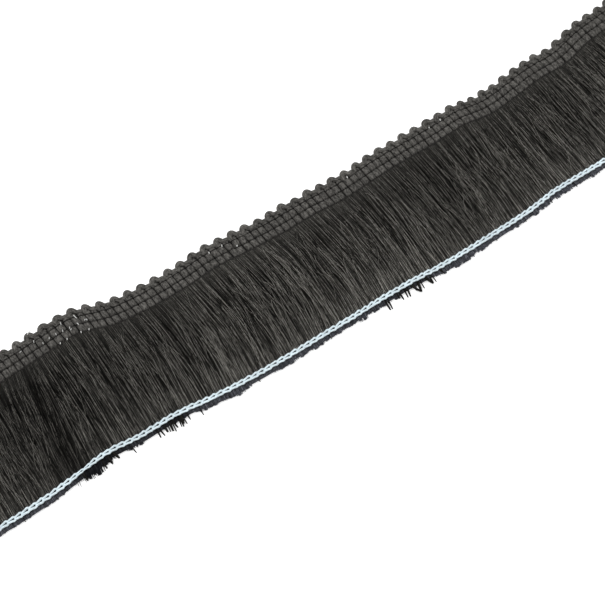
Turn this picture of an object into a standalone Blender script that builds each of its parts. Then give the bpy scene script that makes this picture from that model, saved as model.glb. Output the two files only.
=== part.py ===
# A cut length of brush fringe trim, lying flat: a woven heading with a looped edge, a skirt
# of cut yarn locks, and a chain stitch that holds the ends of the locks in line.
# Metres, +Z up. The length runs along X and the looped edge is on the +Y side. The part
# lies on its back on the plane Z = 0, and its origin is under the middle of its box.

import math

import bpy
import numpy as np

MM = 0.001

# The heading, measured across the strip from the tips of the looped edge
SCALLOPS = 60
SCALLOP_PITCH = 5.5 * MM
LENGTH = SCALLOPS * SCALLOP_PITCH
LOOP_DEPTH = 4.2 * MM
WOVEN_ROWS = 2
WOVEN_ROW = 3.15 * MM
HEADING_WIDTH = LOOP_DEPTH + WOVEN_ROWS * WOVEN_ROW
GROOVE_HEIGHT = 1.0 * MM
CREST_HEIGHT = 1.9 * MM
LOOP_TIP_HEIGHT = 0.9 * MM
FURROW_SHARE = 0.4

# The skirt and the narrow strip that its roots are woven into
SEAT_GAP = 0.3 * MM
ROOT_STRIP = 1.0 * MM
ROOT_HEIGHT = 1.3 * MM
LOCKS = 4 * SCALLOPS
LOCK_GAP = 0.28 * MM
LOCK_HEIGHT = 1.6 * MM
LOCK_BENDS = (0.30, 0.66)
STITCHED_HEIGHT = 1.0 * MM
TIP_HEIGHT = 0.7 * MM
TIP_NARROWING = 0.2 * MM

# How uneven the locks are: sideways drift, height against the mean, place of the ridge
# across a lock, and length of the cut ends
LOCK_WANDER = 0.2 * MM
WANDER_STOPS_AT = 0.7
FULLNESS = (0.8, 1.15)
RIDGE_PLACE = (0.35, 0.65)
CUT_RAGGEDNESS = 0.45 * MM
SEED = 11

# The chain stitch
CHAIN_LINKS = 111
CHAIN_WIDTH = 2.35 * MM
CHAIN_WAIST = 1.3 * MM
CHAIN_THICKNESS = 0.8 * MM
CHAIN_WAIST_THICKNESS = 0.5 * MM
CHAIN_SHOULDER = 0.6
CHAIN_SEAT = STITCHED_HEIGHT + SEAT_GAP

# One scallop of the edge: a round high loop, then a lower one. Phase runs from 0 to 1 along
# the pitch, inset is how far the outline stays inside the tips, relief is 1 on a pick's
# crest and 0 in the furrow between two picks.
SCALLOP_COLUMNS = ("phase", "inset_mm", "relief")
SCALLOP = (
    (0.00, 1.60, 0.10),
    (0.12, 0.35, 0.85),
    (0.30, 0.00, 1.00),
    (0.48, 0.80, 0.15),
    (0.74, 1.40, 0.95),
)

# How the strip lies, a row for each bend, in millimetres and degrees. Along is the place on
# the length, edge and chain are how far the loop tips and the chain stitch lie from one
# straight line, cut is the yarn left past the chain, slip is how far the weave there has
# stretched towards +X, and the leans are towards +X.
LAY_COLUMNS = ("along", "edge", "chain", "cut", "slip", "root_lean", "end_lean")
LAY = (
    (-165, 39.0, -14.8, 1.3, 0.0, 2, 0),
    (-150, 39.9, -14.6, 1.0, 0.0, 0, 2),
    (-136, 41.6, -14.0, 0.9, 0.0, -2, 2),
    (-124, 42.3, -12.7, 1.1, -0.2, -7, -3),
    (-112, 43.0, -11.3, 2.7, -0.7, 4, -2),
    (-98, 43.6, -12.2, 0.8, 0.7, 5, 0),
    (-84, 39.5, -12.1, 2.3, -0.5, 5, -3),
    (-70, 38.2, -13.6, 1.0, -0.7, 9, -4),
    (-56, 38.3, -14.7, 1.1, -0.6, 9, -4),
    (-42, 39.2, -15.0, 1.0, -0.4, 10, -4),
    (-28, 38.3, -15.0, 1.1, 0.0, 11, -5),
    (-14, 37.7, -14.9, 1.0, -0.3, 11, -3),
    (0, 37.9, -14.7, 1.3, -0.1, 10, -4),
    (14, 37.3, -14.8, 1.7, -0.2, 8, -3),
    (28, 38.2, -15.5, 1.4, 0.0, 7, -1),
    (42, 38.6, -15.5, 1.4, 0.2, 5, 0),
    (56, 38.6, -15.3, 1.0, 0.4, 2, 1),
    (70, 39.1, -14.7, 1.0, 0.8, -1, 1),
    (82, 37.5, -13.3, 1.3, -0.8, 2, 4),
    (94, 38.7, -13.1, 1.2, -1.2, 3, 5),
    (106, 40.1, -13.1, 1.4, -0.8, 3, 3),
    (118, 40.2, -12.7, 1.2, -1.4, 5, 3),
    (132, 43.3, -11.1, 1.2, 0.3, 7, 3),
    (148, 45.1, -9.0, 1.2, 0.8, 6, 2),
    (165, 47.6, -6.7, 1.2, 0.0, 5, 2),
)

# Finishes: sRGB colour, roughness
HEADING_FINISH = ((76, 75, 72), 0.80)
FRINGE_FINISH = ((54, 53, 51), 0.62)
CHAIN_FINISH = ((212, 228, 236), 0.70)


def column(rows, names, name):
    """One named column of a table."""
    return np.array([row[names.index(name)] for row in rows], float)


def lay(name, along):
    """A column of the lay table at a place on the length, on a smooth curve."""
    at = column(LAY, LAY_COLUMNS, "along") * MM
    value = column(LAY, LAY_COLUMNS, name)
    slope = np.gradient(value, at)
    left = int(np.clip(np.searchsorted(at, along) - 1, 0, len(at) - 2))
    span = at[left + 1] - at[left]
    t = min(max((along - at[left]) / span, 0.0), 1.0)
    return float(
        value[left] * (1 + 2 * t) * (1 - t) ** 2
        + value[left + 1] * (3 - 2 * t) * t**2
        + span * slope[left] * t * (1 - t) ** 2
        - span * slope[left + 1] * (1 - t) * t**2
    )


def edge_line(along):
    """Y of the loop tips."""
    return lay("edge", along) * MM


def chain_line(along):
    """Y of the middle of the chain stitch."""
    return lay("chain", along) * MM


def across(along, width):
    """Y of a line of the heading that runs a given width inside the tips."""
    step = SCALLOP_PITCH
    slope = (edge_line(along + step) - edge_line(along - step)) / (2 * step)
    return edge_line(along) - width * math.hypot(1.0, slope)


def sway(along, depth):
    """How far a lock has drifted along X at a depth of 0, its root, to 1, the chain."""
    root = math.tan(math.radians(lay("root_lean", along)))
    end = math.tan(math.radians(lay("end_lean", along)))
    run = across(along, HEADING_WIDTH) - chain_line(along)
    inside = min(depth, 1.0)
    past = max(depth - 1.0, 0.0)
    return run * (root * inside + (end - root) * (inside**3 - inside**4 / 2) + end * past)


def material(name, colour, roughness):
    """A plain matt yarn finish from an sRGB colour."""
    linear = [((c / 255 + 0.055) / 1.055) ** 2.4 for c in colour]
    made = bpy.data.materials.new(name)
    made.use_nodes = True
    shader = made.node_tree.nodes["Principled BSDF"]
    shader.inputs["Base Color"].default_value = (*linear, 1.0)
    shader.inputs["Roughness"].default_value = roughness
    shader.inputs["Metallic"].default_value = 0.0
    return made


def solid(name, points, faces, finish):
    """One object from points and outward faces."""
    mesh = bpy.data.meshes.new(name)
    mesh.from_pydata(points, [], faces)
    mesh.validate()
    mesh.shade_smooth()
    mesh.set_sharp_from_angle(angle=math.radians(50))
    mesh.materials.append(material(name, *finish))
    piece = bpy.data.objects.new(name, mesh)
    bpy.context.scene.collection.objects.link(piece)
    return piece


def heading_columns():
    """Place, outline inset and relief of every line of points across the heading."""
    phases = column(SCALLOP, SCALLOP_COLUMNS, "phase")
    insets = column(SCALLOP, SCALLOP_COLUMNS, "inset_mm") * MM
    reliefs = column(SCALLOP, SCALLOP_COLUMNS, "relief")
    for scallop in range(SCALLOPS):
        for phase, inset, relief in zip(phases, insets, reliefs):
            along = (scallop + phase) * SCALLOP_PITCH - LENGTH / 2
            yield along + lay("slip", along) * MM, inset, relief
    yield LENGTH / 2, insets[0], reliefs[0]


def heading():
    """The woven heading: looped edge, two rows of raised picks and furrows between them."""
    points, faces = [], []
    profile_size = 0
    for along, inset, relief in heading_columns():
        rise = FURROW_SHARE + (1 - FURROW_SHARE) * relief
        crest = GROOVE_HEIGHT + (CREST_HEIGHT - GROOVE_HEIGHT) * rise
        profile = [(inset, 0.0), (inset, LOOP_TIP_HEIGHT)]
        profile.append(((inset + LOOP_DEPTH) / 2, crest))
        for row in range(WOVEN_ROWS):
            top = LOOP_DEPTH + row * WOVEN_ROW
            profile.append((top, GROOVE_HEIGHT))
            profile.append((top + WOVEN_ROW / 2, crest))
        profile.append((HEADING_WIDTH, GROOVE_HEIGHT))
        profile.append((HEADING_WIDTH, 0.0))
        profile_size = len(profile)
        points += [(along, across(along, width), height) for width, height in profile]
    last = len(points) - profile_size
    for start in range(0, last, profile_size):
        after = start + profile_size
        for i in range(profile_size):
            j = (i + 1) % profile_size
            faces.append((start + i, start + j, after + j, after + i))
    faces.append(tuple(reversed(range(profile_size))))
    faces.append(tuple(range(last, last + profile_size)))
    return solid("heading", points, faces, HEADING_FINISH)


def root_strip(points, faces, places, back, front):
    """The strip that carries the locks: its points, back wall and underside."""
    for place in places:
        rear, fore = across(place, back), across(place, front)
        points += [(place, rear, 0.0), (place, rear, ROOT_HEIGHT), (place, fore, 0.0)]
    for rear in range(0, 3 * LOCKS, 3):
        faces.append((rear, rear + 1, rear + 4, rear + 3))
        faces.append((rear, rear + 3, rear + 5, rear + 2))
    last = 3 * LOCKS
    faces.append((2, 1, 0))
    faces.append((last, last + 1, last + 2))


def lock_sections(middle, root, fullness, ragged):
    """Depth, Y, height and narrowing of a lock's sections from above its root to its end."""
    chain = chain_line(middle)
    run = root - chain
    cut = CHAIN_WIDTH / 2 + lay("cut", middle) * MM + ragged * CUT_RAGGEDNESS
    for depth in LOCK_BENDS:
        yield depth, root - run * depth, LOCK_HEIGHT * fullness, 0.0
    yield 1.0, chain, STITCHED_HEIGHT, 0.0
    yield 1.0 + cut / run, chain - cut, TIP_HEIGHT, TIP_NARROWING


def fringe():
    """The skirt: locks of three sides on the floor, fused only to the strip at their roots."""
    rng = np.random.default_rng(SEED)
    places = np.linspace(-LENGTH / 2, LENGTH / 2, LOCKS + 1)
    wander = rng.uniform(-LOCK_WANDER, LOCK_WANDER, LOCKS + 1)
    back = HEADING_WIDTH + SEAT_GAP
    front = back + ROOT_STRIP
    points, faces = [], []
    root_strip(points, faces, places, back, front)

    def border(i, depth):
        """X of the line between two neighbouring locks."""
        return places[i] + sway(places[i], depth) + wander[i] * min(depth, WANDER_STOPS_AT)

    for i in range(LOCKS):
        middle = (places[i] + places[i + 1]) / 2
        root = across(middle, front)
        ridge = rng.uniform(*RIDGE_PLACE)
        left, right, apex = 3 * i + 2, 3 * i + 5, len(points)
        points.append((middle, root, ROOT_HEIGHT))
        faces += [(left, apex, left - 1), (left - 1, apex, right - 1), (right - 1, apex, right)]
        ring = (left, apex, right)
        sections = lock_sections(middle, root, rng.uniform(*FULLNESS), rng.uniform(-1, 1))
        for depth, y, height, narrowing in sections:
            start = border(i, depth) + LOCK_GAP / 2 + narrowing
            end = border(i + 1, depth) - LOCK_GAP / 2 - narrowing
            first = len(points)
            points += [(start, y, 0.0), (start + (end - start) * ridge, y, height), (end, y, 0.0)]
            section = (first, first + 1, first + 2)
            for a, b in ((0, 1), (1, 2), (2, 0)):
                faces.append((ring[a], section[a], section[b], ring[b]))
            ring = section
        faces.append(tuple(reversed(ring)))
    return solid("fringe", points, faces, FRINGE_FINISH)


def chain_stitch():
    """The thread chain over the locks: a band that swells and narrows once for each link."""
    link = LENGTH / CHAIN_LINKS
    points, faces = [], []
    for i in range(2 * CHAIN_LINKS + 1):
        along = -LENGTH / 2 + i * link / 2
        at_waist = i % 2 == 0
        half = (CHAIN_WAIST if at_waist else CHAIN_WIDTH) / 2
        top = CHAIN_SEAT + (CHAIN_WAIST_THICKNESS if at_waist else CHAIN_THICKNESS)
        y = chain_line(along)
        shoulder = CHAIN_SHOULDER * half
        points += [
            (along, y - half, CHAIN_SEAT),
            (along, y - shoulder, top),
            (along, y + shoulder, top),
            (along, y + half, CHAIN_SEAT),
        ]
    for i in range(2 * CHAIN_LINKS):
        start, after = 4 * i, 4 * i + 4
        for a in range(4):
            b = (a + 1) % 4
            faces.append((start + a, start + b, after + b, after + a))
    close = 8 * CHAIN_LINKS
    faces.append((3, 2, 1, 0))
    faces.append((close, close + 1, close + 2, close + 3))
    return solid("chain_stitch", points, faces, CHAIN_FINISH)


def face_outwards(piece):
    """Turn a closed mesh's faces out if they point in."""
    mesh = piece.data
    mesh.calc_loop_triangles()
    volume = 0.0
    for triangle in mesh.loop_triangles:
        a, b, c = (mesh.vertices[v].co for v in triangle.vertices)
        volume += a.dot(b.cross(c))
    if volume < 0:
        mesh.flip_normals()


def centre_on_floor(pieces):
    """Move the points so that the origin is under the middle of the whole box."""
    corners = np.array([vertex.co for piece in pieces for vertex in piece.data.vertices])
    low, high = corners.min(axis=0), corners.max(axis=0)
    middle = (low + high) / 2
    for piece in pieces:
        for vertex in piece.data.vertices:
            vertex.co.x -= middle[0]
            vertex.co.y -= middle[1]
            vertex.co.z -= low[2]


def main():
    for old in list(bpy.data.objects):
        bpy.data.objects.remove(old)
    pieces = [heading(), fringe(), chain_stitch()]
    for piece in pieces:
        face_outwards(piece)
    centre_on_floor(pieces)


main()
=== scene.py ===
import math
from types import SimpleNamespace

import bpy
import numpy as np
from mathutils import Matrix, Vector


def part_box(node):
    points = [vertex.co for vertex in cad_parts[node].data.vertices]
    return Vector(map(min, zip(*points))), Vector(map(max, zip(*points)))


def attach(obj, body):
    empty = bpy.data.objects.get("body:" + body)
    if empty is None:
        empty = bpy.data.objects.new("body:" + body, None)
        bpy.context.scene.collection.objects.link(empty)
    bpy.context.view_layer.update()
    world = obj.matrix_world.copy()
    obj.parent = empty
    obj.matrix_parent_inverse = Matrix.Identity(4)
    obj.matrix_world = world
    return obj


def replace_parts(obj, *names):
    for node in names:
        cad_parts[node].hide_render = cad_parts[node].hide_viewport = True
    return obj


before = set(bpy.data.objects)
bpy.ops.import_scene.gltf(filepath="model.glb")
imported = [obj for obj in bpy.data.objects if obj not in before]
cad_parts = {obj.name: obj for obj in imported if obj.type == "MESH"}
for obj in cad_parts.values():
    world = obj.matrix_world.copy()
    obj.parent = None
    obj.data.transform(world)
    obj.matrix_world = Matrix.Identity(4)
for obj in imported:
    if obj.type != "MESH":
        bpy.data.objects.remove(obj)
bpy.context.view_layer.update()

bl_info = {
    "name": "Brush fringe trim",
    "version": (1, 0, 0),
    "blender": (4, 5, 0),
    "location": "View3D > Sidebar > Trim",
    "description": "Models a cut length of brush fringe trim around its packed solids",
    "category": "Object",
}

MM = 0.001


def table(names, *rows):
    """The columns of a table by their names."""
    return dict(zip(names, np.array(rows, float).T))


# Sizes shared with the part's source
SCALLOPS = 60
SCALLOP_PITCH = 5.5 * MM
LENGTH = SCALLOPS * SCALLOP_PITCH
PICKS = 2 * SCALLOPS
PICK_PITCH = SCALLOP_PITCH / 2
HEADING_WIDTH = 10.5 * MM
WARP_LINES = (4.2 * MM, 7.35 * MM, 10.5 * MM)
CHAIN_WIDTH = 2.35 * MM
TIP_PHASE = 0.30

# The chain stitch, with the place where it is twisted tight
CHAIN_LINKS = 119
LINK_PITCH = LENGTH / CHAIN_LINKS
CHAIN_HEIGHT = 1.02 * MM
TWIST_PLACE = -120.4 * MM
TWIST_SPAN = 3.2 * MM
TWIST_TIGHT = 0.40
NEEDLE_RADIUS = 0.15 * MM

# Seeds of the random draws
PICK_SEED = 3
LOOP_SEED = 5
WARP_SEED = 7
CHAIN_SEED = 9
CLUMP_SEED = 17
SKIRT_SEED = 20
HAIR_SEED = 31

# How the strip lies, a row for each bend, in millimetres and degrees. Along is the place on
# the length, edge and chain are how far the loop tips and the chain stitch lie from one
# straight line, slip is how far the weave there has stretched towards +X, and the leans are
# towards +X.
LAY = table(
    ("along", "edge", "chain", "slip", "root_lean", "end_lean"),
    (-165, 39, -14.8, 0, 2, 0), (-150, 39.9, -14.6, 0, 0, 2), (-136, 41.6, -14, 0, -2, 2),
    (-124, 42.3, -12.7, -0.2, -7, -3), (-112, 43, -11.3, -0.7, 4, -2),
    (-98, 43.6, -12.2, 0.7, 5, 0), (-84, 39.5, -12.1, -0.5, 5, -3),
    (-70, 38.2, -13.6, -0.7, 9, -4), (-56, 38.3, -14.7, -0.6, 9, -4),
    (-42, 39.2, -15, -0.4, 10, -4), (-28, 38.3, -15, 0, 11, -5), (-14, 37.7, -14.9, -0.3, 11, -3),
    (0, 37.9, -14.7, -0.1, 10, -4), (14, 37.3, -14.8, -0.2, 8, -3), (28, 38.2, -15.5, 0, 7, -1),
    (42, 38.6, -15.5, 0.2, 5, 0), (56, 38.6, -15.3, 0.4, 2, 1), (70, 39.1, -14.7, 0.8, -1, 1),
    (82, 37.5, -13.3, -0.8, 2, 4), (94, 38.7, -13.1, -1.2, 3, 5), (106, 40.1, -13.1, -0.8, 3, 3),
    (118, 40.2, -12.7, -1.4, 5, 3), (132, 43.3, -11.1, 0.3, 7, 3), (148, 45.1, -9, 0.8, 6, 2),
    (165, 47.6, -6.7, 0, 5, 2),
)

# How far the cut ends stick out past the chain stitch, in millimetres, and how light their
# yarn is: tufts and notches.
CUT = table(
    ("along", "past", "shade"),
    (-165, 1.2, 1.4), (-150, 1.2, 1.4), (-141, 0.65, 1.4), (-135, 0.95, 1.4), (-130, 1.1, 1.1),
    (-126, 0.6, 1.1), (-123.3, 0.3, 0.7), (-121.8, 0.7, 0.4), (-120.4, 2.4, 0.2), (-118, 2.9, 0.2),
    (-115, 3.2, 0.2), (-113.5, 2.4, 0.2), (-111.5, 2.1, 0.2), (-110.6, 2.7, 0.2),
    (-109.6, 1.5, 0.3), (-107, 0.95, 0.4), (-103, 1.25, 0.5), (-98.5, 0.75, 0.7), (-95, 0.7, 0.7),
    (-91, 1.05, 0.5), (-87.5, 1.35, 0.3), (-83, 0.8, 0.3), (-81.5, 1.1, 0.5), (-78.5, 0.4, 1.1),
    (-75, 1.2, 1.4), (-69, 1.3, 1.4), (-66, 1.5, 1.4), (-60, 0.9, 1.4), (-45, 0.6, 1.4),
    (-42, 1.3, 1.4), (-33, 0.95, 1.4), (-24, 1.2, 1.4), (-18, 0.65, 1.4), (-12, 1.2, 1.4),
    (-6, 1, 1.4), (0, 0.8, 0.9), (3, 1.1, 0.9), (6, 0.95, 0.8), (10, 1.2, 0.7), (12.8, 0.4, 0.7),
    (16, 1.1, 0.7), (18.3, 0.1, 0.9), (20.5, 0.45, 1), (22.5, 1.2, 1.1), (26, 1.45, 1.4),
    (36, 1.6, 1.6), (48, 1, 1.6), (57, 1.1, 1.6), (69, 0.95, 1.6), (78, 1.35, 1.6), (90, 1.5, 1.6),
    (96, 0.9, 1.6), (99, 1.5, 1.6), (118, 1.1, 1.6), (132, 1.3, 1.6), (148, 1.1, 1.6),
    (165, 1.2, 1.6),
)

# Painted sheen: how light the skirt is along the strip against its mean, near the heading and near
# the chain.
PAINTED_SHEEN = table(
    ("along", "upper", "lower"),
    (-165, 0.9, 1), (-148, 0.75, 0.95), (-138, 0.7, 0.65), (-126, 0.62, 0.7), (-112, 0.85, 0.95),
    (-98, 0.78, 0.8), (-84, 0.8, 0.9), (-70, 0.8, 1), (-56, 0.95, 1.18), (-42, 1.35, 1.1),
    (-28, 1.22, 1.18), (-14, 1.1, 1.3), (0, 1.05, 1.28), (14, 0.92, 1.22), (28, 0.88, 1.15),
    (42, 0.8, 0.92), (56, 0.8, 0.88), (70, 0.9, 0.9), (84, 0.82, 1.12), (98, 0.92, 0.98),
    (118, 0.87, 0.95), (140, 0.97, 1), (165, 1, 1),
)

# Hairs and stuck tufts that stick out past the cut ends, in millimetres and degrees: where
# their tips lie, their reach from the chain's line, their lean and half their breadth.
HAIRS = table(
    ("along", "past", "lean", "girth"),
    (-121.1, 4, 3, 0.5), (-113.4, 4.7, 4, 0.35), (-111, 4.4, 2, 0.55), (-108, 3.8, 19, 0.55),
    (-102.1, 4.7, 8, 0.26), (-92.2, 4.4, -4, 0.34), (-90.6, 4.5, 10, 0.34), (-89.1, 4.1, 1, 0.5),
    (-88.2, 4.4, -7, 0.28), (-87.3, 4.8, -6, 0.5), (-86.4, 5.4, -4, 0.28), (-85.3, 4.5, 7, 0.4),
    (-84, 4.9, -10, 0.28), (-83.3, 5.2, -6, 0.36), (-82.8, 4.3, -10, 0.55), (-81.8, 4.8, 3, 0.28),
    (-80.1, 4, 1, 0.32), (-75.3, 4.5, 0, 0.26), (2.7, 5.2, -2, 0.45), (3.6, 5.3, -6, 0.35),
    (8.1, 3.3, 1, 0.35), (9.1, 4.4, -1, 0.4), (10.9, 4.5, -8, 0.35), (11.9, 4.7, -11, 0.4),
    (15.4, 4, 12, 0.65), (16.1, 4.8, 24, 0.5), (16.3, 5.2, -14, 0.6), (18.1, 4.5, -3, 0.28),
    (21.9, 4.4, 22, 0.6), (22.1, 4.4, -2, 0.35), (23.3, 4.4, 3, 0.3), (28, 3.3, 25, 0.35),
    (-146, 2.9, 4, 0.24), (-133, 2.9, 7, 0.24), (-64, 3.1, 8, 0.24), (-52, 2.9, -5, 0.24),
    (-38, 3.2, 10, 0.24), (-21.5, 2.9, 4, 0.24), (37.5, 3.4, 12, 0.24), (52, 2.9, 3, 0.24),
    (66, 2.8, 8, 0.24), (79, 3.1, -4, 0.24), (91, 3.3, 7, 0.24), (102, 3, 5, 0.24),
    (121, 3, 8, 0.24), (140, 3, 2, 0.24),
)

# Places where the clear thread of the weave glints, drawn as a short arc painted bright, in
# millimetres, and how far it is turned from the strip's length, in degrees.
GLINTS = table(
    ("along", "width", "size", "turn"),
    (-119.4, 5, 0.42, 10), (-113.6, 4.4, 0.44, 70), (-111.1, 6.9, 0.36, 80),
    (-108.3, 6.6, 0.32, 60), (-105.5, 6.8, 0.4, 80), (-102.8, 7.2, 0.46, 75),
    (-102.1, 4.4, 0.5, 80), (-100.1, 7.5, 0.36, 60), (-100, 8.3, 0.28, 30),
    (-96.9, 7.3, 0.48, 110), (-96.5, 4.3, 0.8, 105), (-94, 6.4, 0.34, 40), (-93.4, 6.5, 0.3, 80),
    (-94.5, 10.5, 0.36, 60), (-97.4, 10.8, 0.36, 80), (-102.9, 10.8, 0.34, 70),
    (-105.8, 10.7, 0.3, 60), (-36.8, 4.4, 0.44, 70), (-42.3, 4.5, 0.34, 80), (-32, 7, 0.32, 60),
    (18.3, 4, 0.4, 70), (57, 4.1, 0.3, 60), (62.6, 3.9, 0.34, 80), (-113.1, 0.1, 1.3, 10),
)
CLEAR_RADIUS = 0.17 * MM

# One pick of the weave from under the edge loops to under the skirt, in millimetres: width
# is measured from the loop tips, height is the middle of the yarn, radius its half breadth.
PICK = table(
    ("width", "height", "radius"),
    (2.7, 0.42, 0.85), (3.4, 0.66, 1.08), (3.9, 0.78, 1.18), (4.2, 0.34, 0.92), (4.5, 0.84, 1.22),
    (5.1, 1, 1.3), (6.4, 1, 1.3), (7, 0.88, 1.25), (7.35, 0.36, 0.92), (7.7, 0.86, 1.24),
    (8.3, 0.98, 1.29), (9.6, 0.96, 1.29), (10.2, 0.82, 1.21), (10.5, 0.34, 0.92),
    (10.8, 0.34, 0.9), (11.6, 0.24, 0.6),
)
PICK_FLATNESS = 0.68
PICK_SLANT = 0.10
PICK_JITTER = 0.09 * MM

# One loop of the edge, in millimetres from the scallop's start: up, round the high hump,
# then along as the low band that tucks in behind the next loop.
LOOP = table(
    ("along", "width", "height", "radius"),
    (2.3, 3.1, 0.55, 0.8), (1.4, 3.6, 0.45, 0.85), (0.55, 3.4, 0.7, 0.95), (0.62, 2.1, 0.98, 1.06),
    (1.15, 1.16, 1.04, 1.1), (1.85, 1, 1.04, 1.1), (2.5, 1.42, 1.02, 1.04),
    (2.95, 2.1, 0.98, 0.94), (3.6, 2.46, 0.95, 0.9), (4.45, 2.42, 0.95, 0.9),
    (5.3, 2.46, 0.88, 0.86), (5.9, 3, 0.6, 0.74), (6.2, 3.8, 0.42, 0.6),
)
LOOP_FLATNESS = 0.88
LOOP_LIMIT = LENGTH / 2 + 0.4 * MM

# Half of one link of the chain stitch, in millimetres from the link's middle: the two legs
# rise out of the loop before, cross over its head, spread, and close in a head of their own.
LINK = table(
    ("along", "off", "height"),
    (-1.63, 0, -0.2), (-1.45, 0.2, 0.2), (-1.03, 0.4, 0.6), (-0.37, 0.46, 0.66), (0.19, 0.52, 0.6),
    (0.67, 0.71, 0.5), (1.1, 0.65, 0.38), (1.42, 0.32, 0.24), (1.49, 0, 0.22),
)

# The layers of the skirt, from the floor up: wisps on the whole length and strands in each. In
# millimetres: root's place inside the loop tips, spread, radius, lowest and highest body, weave
# up and down, wave and gather. In degrees: drift and own lean. Light is that of the lightest
# strand, whose lightness is mostly a painted silky glint on the dark yarn, rare says how few are
# light, and fade how much lighter they get towards the chain.
LAYER_COLUMNS = (
    "wisps", "strands", "root", "spread", "radius", "low", "high", "weave", "drift", "lean",
    "wave", "gather", "light", "rare", "fade",
)
LAYERS = {
    "skirt_base": (1900, 1, 10.3, 0, 0.23, 0.25, 0.45, 0, 0, 0, 0.1, 0, 0.04, 2.0, 0.05),
    "skirt_body": (620, 2, 10.3, 0.2, 0.16, 0.60, 1.00, 0.05, 1.8, 0.8, 0.3, 0, 0.10, 2.0, 0.10),
    "skirt_face": (1400, 1, 10.7, 0, 0.13, 0.95, 1.50, 0.20, 1.4, 1.5, 0.4, 0.1, 0.60, 3.1, 0.20),
    "skirt_crest": (1500, 1, 10.8, 0, 0.11, 1.2, 1.75, 0.26, 1.4, 1.8, 0.5, 0.1, 1.0, 3.1, 0.20),
}

# Depths of a strand's stations, from 0 at its root to 1 at the chain. One more lies at its cut
# end, and at one of them the light strands are spread evenly.
DEPTHS = (
    0.0, 0.04, 0.10, 0.17, 0.25, 0.33, 0.41, 0.49, 0.57, 0.65, 0.73, 0.81, 0.89, 0.955, 1.035
)
EVEN_STATION = 8
LEAST_END = 1.05
CHAIN_DEPTH = 0.99
FREE_DEPTH = 0.45
WEAVE_SPAN = 0.30

# How far wisps, and the strands in them, differ in place, wave, cut, turn and lean
PLACE_SPREAD = 0.4
WISP_WAVE = 0.15
WISP_CUT = 0.07
WISP_TURN = 2.0
WISP_FLATNESS = 0.7
STRAND_LEAN = 0.008
STRAND_WAVE = 0.08
STRAND_CUT = 0.05

# The skirt's reach at its two ends, its lowest strands, and clumps of stuck cut ends
END_INSET = 2.0 * MM
END_LIMIT = LENGTH / 2 + 3.0 * MM
BASE_OVERLAP = 1.1
TIP_TAPER = 0.8
CLUMP_WIDTH = 1.4 * MM
CLUMP_CUT = 0.45 * MM
CLUMP_PULL = 0.45
CLUMP_DEPTH = 0.08

# Lengths of the smooth wanders along the strip, in millimetres
DRIFT_SPANS = (10.3, 17.0, 29.0)
WAVE_SPANS = (8.3, 17.0, 31.0)
WARP_SPANS = (3.1, 5.9, 11.0)
GATHER_SPANS = (4.9, 6.7, 9.7)

# The tangled stretch, and the painted shadow on the skirt left of the twist
TANGLE_PLACE = -129.0 * MM
TANGLE_SPAN = 13.0 * MM
TANGLE = 2.4
PAINTED_SHADOW_PLACE = -124.5 * MM
PAINTED_SHADOW_SPAN = 5.0 * MM
PAINTED_SHADOW_DIM = 0.65

# How light strands are: roots and cut ends keep a share of their strand's tone; near the roots this
# is painted shade under the heading's edge, which dims the light strands
GOLDEN = 0.618034
TONE_JITTER = 0.12
TONE_LIMIT = 1.3
ROOT_TONE = 0.082
ROOT_SHARE = 0.5
END_TONE = 0.18
END_SHARE = 0.45
# Painted bounce light: a blue tint on the cut ends past the chain, as if lit by light thrown off
# the pale chain thread
CHAIN_BOUNCE_TINT = (0.93, 1.0, 1.26)

# The pattern of fibres: its breadth round a yarn and where it starts on each one
FIBRE_GIRTH = 0.35
FIBRE_STEP = 61.803
FIBRE_START = 997.0
COPY_STEP = 7.3
STRAND_START = 900


IN_METRES = {"unit": "LENGTH", "subtype": "DISTANCE", "precision": 6}
AS_COLOUR = {"subtype": "COLOR", "size": 3, "min": 0.0, "max": 1.0}


class TrimSizes(bpy.types.PropertyGroup):
    """Sizes of the yarns and threads that a user would change."""

    hair_count: bpy.props.IntProperty(
        name="Stray hairs", description="Single strands that cross the skirt", default=460,
        min=0,
    )
    hair_radius: bpy.props.FloatProperty(
        name="Hair radius", description="Half thickness of a stray hair", default=0.075 * MM,
        **IN_METRES,
    )
    warp_radius: bpy.props.FloatProperty(
        name="Warp radius",
        description="Half thickness of the warp threads that bind the picks", default=0.19 * MM,
        **IN_METRES,
    )
    chain_radius: bpy.props.FloatProperty(
        name="Chain thread radius",
        description="Half thickness of the thread of the chain stitch", default=0.37 * MM,
        **IN_METRES,
    )
    cloth_thickness: bpy.props.FloatProperty(
        name="Ground thickness", description="Thickness of the ground cloth under the picks",
        default=0.30 * MM, **IN_METRES,
    )


class TrimColours(bpy.types.PropertyGroup):
    """Colours of the yarns, threads and floor."""

    heading: bpy.props.FloatVectorProperty(
        name="Heading yarn", description="Colour of the heading's picks and loops",
        default=(0.068, 0.065, 0.060), **AS_COLOUR,
    )
    skirt_dark: bpy.props.FloatVectorProperty(
        name="Skirt yarn, dark", description="Colour of the darkest strands",
        default=(0.0060, 0.0058, 0.0054), **AS_COLOUR,
    )
    # The lightest strands' colour is mostly a painted silky glint on the dark yarn.
    skirt_glint: bpy.props.FloatVectorProperty(
        name="Skirt yarn, light", description="Colour of the lightest strands",
        default=(0.545, 0.523, 0.475), **AS_COLOUR,
    )
    chain: bpy.props.FloatVectorProperty(
        name="Chain thread", description="Colour of the chain stitch",
        default=(0.74, 0.85, 0.90), **AS_COLOUR,
    )
    floor: bpy.props.FloatVectorProperty(
        name="Floor", description="Colour of the floor", default=(0.90, 0.90, 0.90),
        **AS_COLOUR,
    )


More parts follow.
